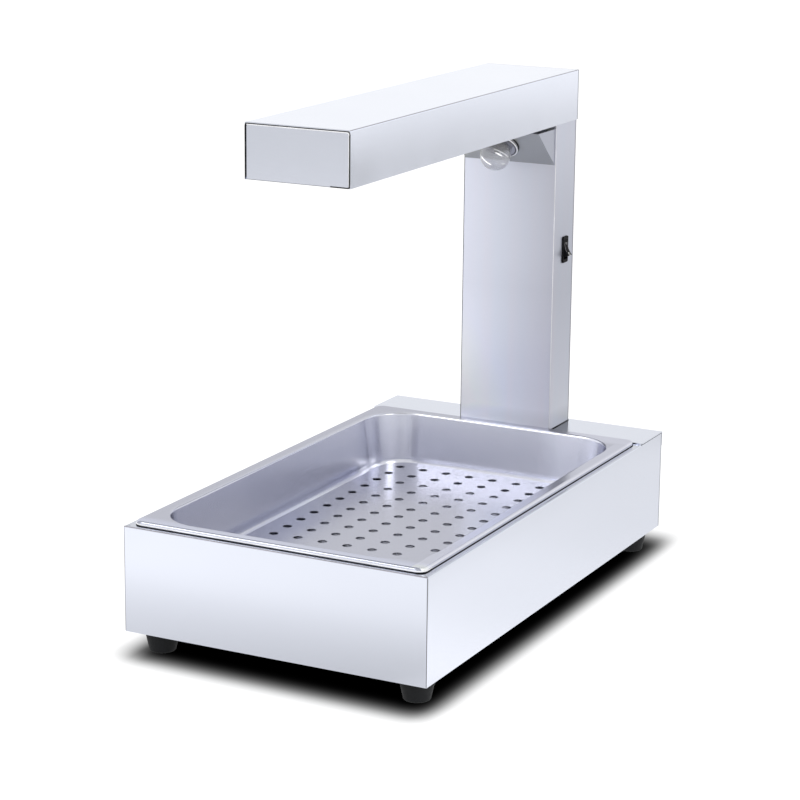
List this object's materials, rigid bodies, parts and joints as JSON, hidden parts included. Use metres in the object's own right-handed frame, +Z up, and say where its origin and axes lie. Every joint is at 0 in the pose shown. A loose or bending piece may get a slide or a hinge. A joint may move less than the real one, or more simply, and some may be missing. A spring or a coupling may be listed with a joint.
{
  "type": "chip warmer",
  "caption": "Countertop chip warmer: a food pan with a drainer in a folded steel base, and a rear column that carries a heated hood and a lamp over the pan.",
  "frame": {"origin": "on the floor, under the middle of the outline's length and width", "axes": "+X to the operator's right (the switch's side), +Y from front to rear, +Z up"},
  "size_m": [0.34, 0.6184, 0.544],
  "materials": {
    "casing_steel": "brushed stainless steel",
    "inner_steel": "dull plated steel",
    "pan_steel": "satin stainless steel, deep drawn",
    "fastener_steel": "plain steel",
    "foot_rubber": "matt black rubber",
    "reflector_aluminium": "bright rolled aluminium",
    "quartz_glass": "clear quartz",
    "heating_wire": "oxidised resistance wire",
    "white_ceramic": "unglazed white ceramic",
    "lamp_chrome": "polished chrome",
    "bulb_clear_glass": "clear glass",
    "stem_glass": "clear glass stem",
    "cap_brass": "plain brass",
    "switch_black": "black moulded plastic",
    "rocker_black": "black moulded plastic",
    "gland_plastic": "black nylon",
    "wire_insulation": "heat-resistant silicone"
  },
  "bodies": {
    "warmer": {"base_shell": "casing_steel", "rear_shelf": "casing_steel", "base_back_panel": "casing_steel", "column_shell": "casing_steel", "column_back_cover": "casing_steel", "hood_shell": "casing_steel", "hood_front_cap": "casing_steel", "hood_rear_cap": "casing_steel", "lamp_bracket": "casing_steel", "base_bottom_plate": "inner_steel", "well_divider": "inner_steel", "heater_bracket_front": "inner_steel", "heater_bracket_rear": "inner_steel", "foot_screws": "fastener_steel", "foot_nuts": "fastener_steel", "back_panel_screws": "fastener_steel", "column_cover_screws": "fastener_steel", "column_bolts": "fastener_steel", "column_nuts": "fastener_steel", "hood_cap_screws": "fastener_steel", "lamp_bracket_screws": "fastener_steel", "switch_pin": "fastener_steel", "heater_guard": "fastener_steel", "foot_front_left": "foot_rubber", "foot_front_right": "foot_rubber", "foot_rear_left": "foot_rubber", "foot_rear_right": "foot_rubber", "cable_grommet": "foot_rubber", "gland_seal": "foot_rubber", "heat_reflector": "reflector_aluminium", "heater_tube_left": "quartz_glass", "heater_tube_right": "quartz_glass", "heater_coil_left": "heating_wire", "heater_coil_right": "heating_wire", "heater_end_ceramics": "white_ceramic", "lamp_holder": "white_ceramic", "base_terminal_block": "white_ceramic", "hood_terminal_block": "white_ceramic", "lamp_ring": "lamp_chrome", "bulb_glass": "bulb_clear_glass", "bulb_stem": "stem_glass", "bulb_cap": "cap_brass", "switch_terminals": "cap_brass", "earth_stud": "cap_brass", "earth_nut": "cap_brass", "switch_housing": "switch_black", "gland_body": "gland_plastic", "gland_locknut": "gland_plastic", "gland_cap": "gland_plastic", "base_harness": "wire_insulation", "hood_harness": "wire_insulation", "heater_leads": "wire_insulation", "lamp_leads": "wire_insulation"},
    "rocker": {"switch_rocker": "rocker_black"},
    "pan": {"food_pan": "pan_steel"},
    "drainer": {"drainer_plate": "pan_steel"}
  },
  "joints": [
    {"name": "rocker_hinge", "type": "hinge", "parent": "warmer", "child": "rocker", "pos_m": [0.0543, 0.25825, 0.3432], "axis": [0, 1, 0], "range_deg": [0, 36]},
    {"name": "pan_lift", "type": "slide", "parent": "warmer", "child": "pan", "axis": [0, 0, 1], "range_m": [0, 0.12]},
    {"name": "drainer_lift", "type": "slide", "parent": "pan", "child": "drainer", "axis": [0, 0, 1], "range_m": [0, 0.08]}
  ]
}
